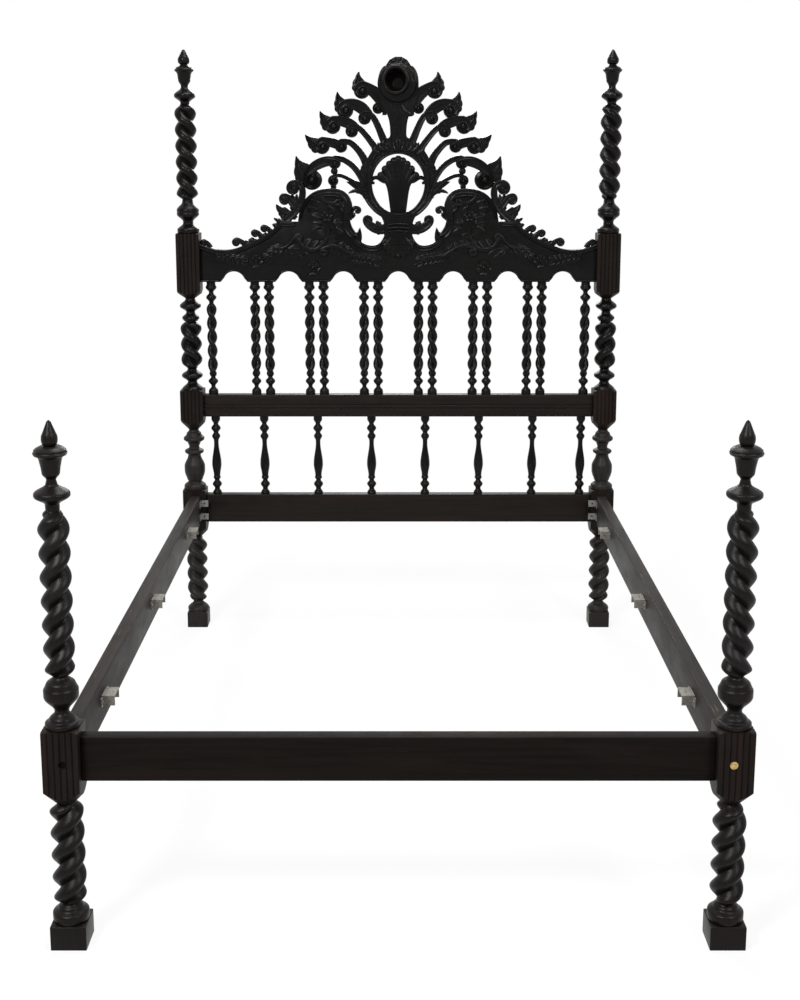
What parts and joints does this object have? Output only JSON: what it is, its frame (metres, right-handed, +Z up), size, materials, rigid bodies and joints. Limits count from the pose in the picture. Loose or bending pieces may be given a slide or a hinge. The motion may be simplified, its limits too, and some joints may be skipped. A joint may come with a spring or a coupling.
{
  "type": "rope bed",
  "caption": "Four-post bedstead with rope-twist turned posts and spindles, plain bolted rails and a tall headboard crest of pierced, carved scrolls.",
  "frame": {"origin": "on the floor, midway between the four posts", "axes": "+X to the right as seen from the foot, +Y from the foot to the headboard, +Z up"},
  "size_m": [1.498, 2.078, 1.994],
  "materials": {
    "turned_rosewood": "polished, near black",
    "carved_rosewood": "polished, near black",
    "worn_rosewood": "worn satin, grey-brown with reddish patches",
    "pale_dowel": "unfinished",
    "aged_iron": "dull grey",
    "brass": "dull"
  },
  "bodies": {
    "root": {"foot_post_left": "turned_rosewood", "foot_post_right": "turned_rosewood", "head_post_left": "turned_rosewood", "head_post_right": "turned_rosewood", "foot_finial_left": "turned_rosewood", "foot_finial_right": "turned_rosewood", "head_finial_left": "turned_rosewood", "head_finial_right": "turned_rosewood", "foot_rail": "worn_rosewood", "side_rail_left": "worn_rosewood", "side_rail_right": "worn_rosewood", "head_rail": "turned_rosewood", "middle_rail": "turned_rosewood", "crest_board": "carved_rosewood", "crest_openwork": "carved_rosewood", "crest_rocaille": "carved_rosewood", "crest_dowels": "pale_dowel", "twist_spindle_1": "turned_rosewood", "twist_spindle_2": "turned_rosewood", "twist_spindle_3": "turned_rosewood", "twist_spindle_4": "turned_rosewood", "twist_spindle_5": "turned_rosewood", "twist_spindle_6": "turned_rosewood", "twist_spindle_7": "turned_rosewood", "twist_spindle_8": "turned_rosewood", "twist_spindle_9": "turned_rosewood", "twist_spindle_10": "turned_rosewood", "twist_spindle_11": "turned_rosewood", "twist_spindle_12": "turned_rosewood", "twist_spindle_13": "turned_rosewood", "twist_spindle_14": "turned_rosewood", "vase_spindle_1": "turned_rosewood", "vase_spindle_2": "turned_rosewood", "vase_spindle_3": "turned_rosewood", "vase_spindle_4": "turned_rosewood", "vase_spindle_5": "turned_rosewood", "vase_spindle_6": "turned_rosewood", "vase_spindle_7": "turned_rosewood", "vase_spindle_8": "turned_rosewood", "slat_bracket_left_1": "aged_iron", "slat_bracket_left_2": "aged_iron", "slat_bracket_left_3": "aged_iron", "slat_bracket_right_1": "aged_iron", "slat_bracket_right_2": "aged_iron", "slat_bracket_right_3": "aged_iron", "corner_plate_left_low": "aged_iron", "corner_plate_left_high": "aged_iron", "corner_plate_right_low": "aged_iron", "corner_plate_right_high": "aged_iron", "bed_bolt_left": "aged_iron", "bed_bolt_right": "aged_iron", "bolt_nut_left": "aged_iron", "bolt_nut_right": "aged_iron", "bolt_cap_right": "brass", "bracket_screws": "aged_iron", "corner_screws": "aged_iron"}
  },
  "joints": []
}
